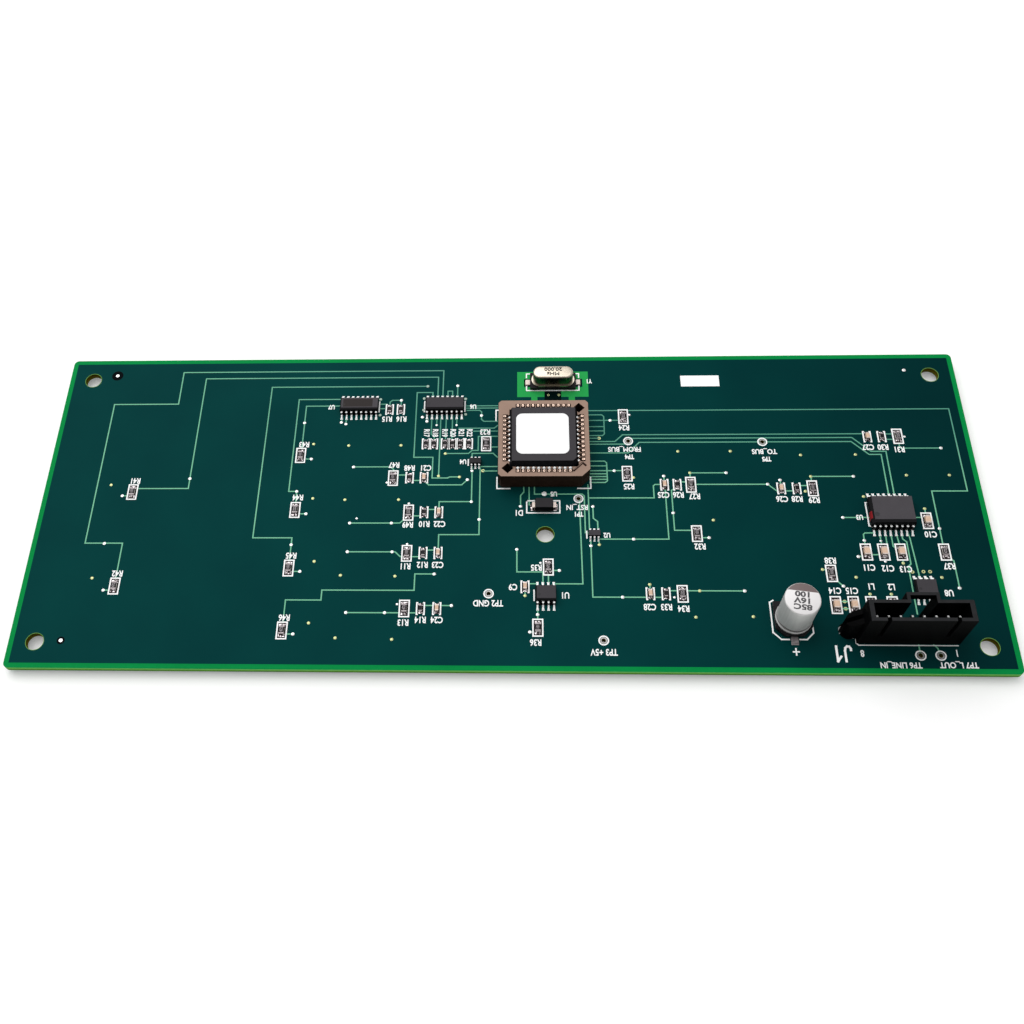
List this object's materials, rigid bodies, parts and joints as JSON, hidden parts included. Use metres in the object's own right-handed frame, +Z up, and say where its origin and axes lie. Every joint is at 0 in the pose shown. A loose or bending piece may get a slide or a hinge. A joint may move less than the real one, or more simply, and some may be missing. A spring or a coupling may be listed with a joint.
{
  "type": "control interface circuit board",
  "caption": "Long bare circuit card with a socketed chip carrier, small-outline circuits, chip parts, a crystal, an electrolytic capacitor and an upright latching pin header.",
  "frame": {"origin": "under the middle of the board, level with the tips of the header's tails", "axes": "+X along the board's long side towards the header, +Y to the edge beside the crystal, +Z up from the component side"},
  "size_m": [0.23, 0.088, 0.0154],
  "materials": {
    "laminate": "glass epoxy board, dark green solder mask, satin gloss",
    "masked_copper": "copper track under solder mask",
    "tinned_metal": "tin plated, slightly dull",
    "black_epoxy": "moulded epoxy, fine matte grain",
    "resistor_ceramic": "glazed black film on ceramic",
    "capacitor_ceramic": "tan ceramic, satin",
    "bead_ferrite": "dark grey ferrite",
    "socket_plastic": "brown glass-filled plastic",
    "label_paper": "white paper label",
    "nickel_can": "nickel plated, satin",
    "aluminium_can": "lacquered aluminium",
    "header_plastic": "black moulded plastic"
  },
  "bodies": {
    "root": {"circuit_board": "laminate", "copper_pattern": "masked_copper", "switch_u7_body": "black_epoxy", "switch_u7_leads": "tinned_metal", "switch_u6_body": "black_epoxy", "switch_u6_leads": "tinned_metal", "amplifier_u1_body": "black_epoxy", "amplifier_u1_leads": "tinned_metal", "regulator_u8_body": "black_epoxy", "regulator_u8_leads": "tinned_metal", "line_driver_u3_body": "black_epoxy", "line_driver_u3_leads": "tinned_metal", "gate_u4_body": "black_epoxy", "gate_u4_leads": "tinned_metal", "gate_u2_body": "black_epoxy", "gate_u2_leads": "tinned_metal", "large_resistor_bodies": "resistor_ceramic", "large_resistor_ends": "tinned_metal", "small_resistor_bodies": "resistor_ceramic", "small_resistor_ends": "tinned_metal", "large_capacitor_bodies": "capacitor_ceramic", "large_capacitor_ends": "tinned_metal", "small_capacitor_bodies": "capacitor_ceramic", "small_capacitor_ends": "tinned_metal", "ferrite_bead_bodies": "bead_ferrite", "ferrite_bead_ends": "tinned_metal", "socket_housing": "socket_plastic", "socket_contacts": "tinned_metal", "carrier_body": "black_epoxy", "carrier_leads": "tinned_metal", "carrier_label": "label_paper", "crystal_base": "header_plastic", "crystal_can": "nickel_can", "crystal_terminals": "tinned_metal", "capacitor_base": "header_plastic", "capacitor_can": "aluminium_can", "capacitor_terminals": "tinned_metal", "diode_body": "black_epoxy", "diode_terminals": "tinned_metal", "header_housing": "header_plastic", "header_pins": "tinned_metal"}
  },
  "joints": []
}
